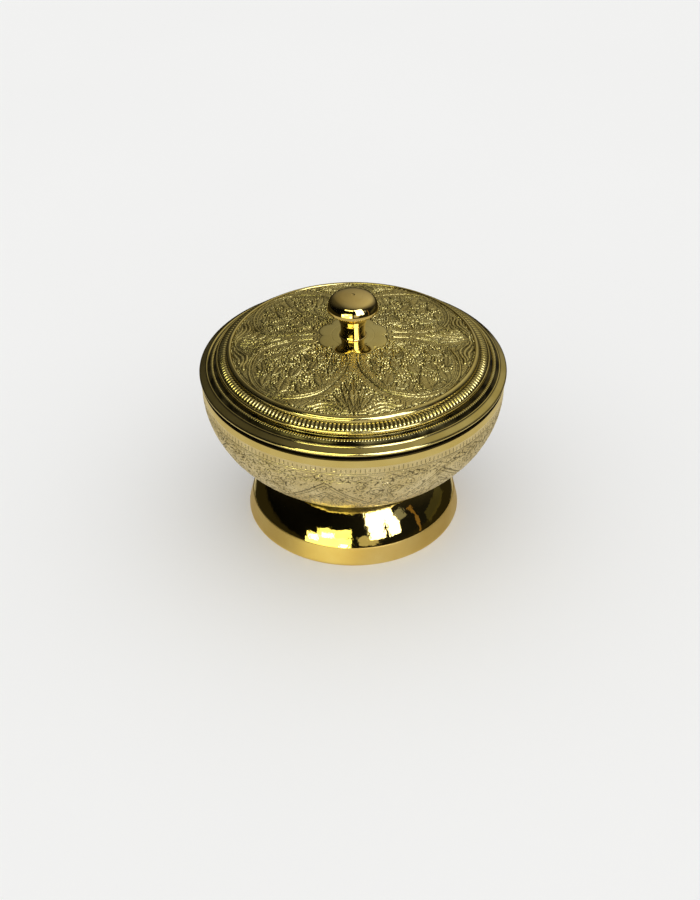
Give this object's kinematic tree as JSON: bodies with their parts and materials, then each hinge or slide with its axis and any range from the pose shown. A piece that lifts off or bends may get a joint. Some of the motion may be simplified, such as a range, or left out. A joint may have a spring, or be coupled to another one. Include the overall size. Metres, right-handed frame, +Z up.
{
  "type": "spice box",
  "caption": "Round footed brass spice box with a stepped, beaded and engraved lid, a mushroom knob, small cups on a level floor inside and a spoon.",
  "frame": {"origin": "centre of the ring the foot stands on", "axes": "+Z up along the axis of the bowl, lid and knob; +X from the centre cup to the cup that the spoon lies in; -Y is the front"},
  "size_m": [0.1522, 0.1522, 0.1245],
  "materials": {
    "engraved_brass": "chased all over with fine dark lines, pale and softly polished between them",
    "polished_brass": "mirror polished, with a satin band round the foot",
    "spun_brass": "spun, with fine circular lines",
    "fixing_brass": "plain turned, slightly dull"
  },
  "bodies": {
    "base": {"bowl": "engraved_brass", "inner_floor": "spun_brass", "foot": "polished_brass", "foot_bolt": "fixing_brass", "foot_washer": "fixing_brass", "foot_nut": "fixing_brass"},
    "lid": {"lid": "engraved_brass", "knob": "polished_brass", "knob_screw": "fixing_brass", "knob_washer": "fixing_brass"},
    "cup_centre": {"cup_centre": "spun_brass"},
    "cup_1": {"cup_1": "spun_brass"},
    "cup_2": {"cup_2": "spun_brass"},
    "cup_3": {"cup_3": "spun_brass"},
    "cup_4": {"cup_4": "spun_brass"},
    "cup_5": {"cup_5": "spun_brass"},
    "cup_6": {"cup_6": "spun_brass"},
    "spoon": {"spoon": "spun_brass"}
  },
  "joints": [
    {"name": "lid_lift", "type": "slide", "parent": "base", "child": "lid", "axis": [0, 0, 1], "range_m": [0, 0.16]},
    {"name": "cup_centre_lift", "type": "slide", "parent": "base", "child": "cup_centre", "axis": [0, 0, 1], "range_m": [0, 0.064]},
    {"name": "cup_1_lift", "type": "slide", "parent": "base", "child": "cup_1", "axis": [0, 0, 1], "range_m": [0, 0.064]},
    {"name": "cup_2_lift", "type": "slide", "parent": "base", "child": "cup_2", "axis": [0, 0, 1], "range_m": [0, 0.064]},
    {"name": "cup_3_lift", "type": "slide", "parent": "base", "child": "cup_3", "axis": [0, 0, 1], "range_m": [0, 0.064]},
    {"name": "cup_4_lift", "type": "slide", "parent": "base", "child": "cup_4", "axis": [0, 0, 1], "range_m": [0, 0.064]},
    {"name": "cup_5_lift", "type": "slide", "parent": "base", "child": "cup_5", "axis": [0, 0, 1], "range_m": [0, 0.064]},
    {"name": "cup_6_lift", "type": "slide", "parent": "base", "child": "cup_6", "axis": [0, 0, 1], "range_m": [0, 0.064]},
    {"name": "spoon_lift", "type": "slide", "parent": "base", "child": "spoon", "axis": [0, 0, 1], "range_m": [0, 0.088]}
  ],
  "couplings": [
    {"joint": "cup_centre_lift", "follows": "lid_lift", "ratio": 0.4},
    {"joint": "cup_1_lift", "follows": "lid_lift", "ratio": 0.4},
    {"joint": "cup_2_lift", "follows": "lid_lift", "ratio": 0.4},
    {"joint": "cup_3_lift", "follows": "lid_lift", "ratio": 0.4},
    {"joint": "cup_4_lift", "follows": "lid_lift", "ratio": 0.4},
    {"joint": "cup_5_lift", "follows": "lid_lift", "ratio": 0.4},
    {"joint": "cup_6_lift", "follows": "lid_lift", "ratio": 0.4},
    {"joint": "spoon_lift", "follows": "lid_lift", "ratio": 0.55}
  ]
}
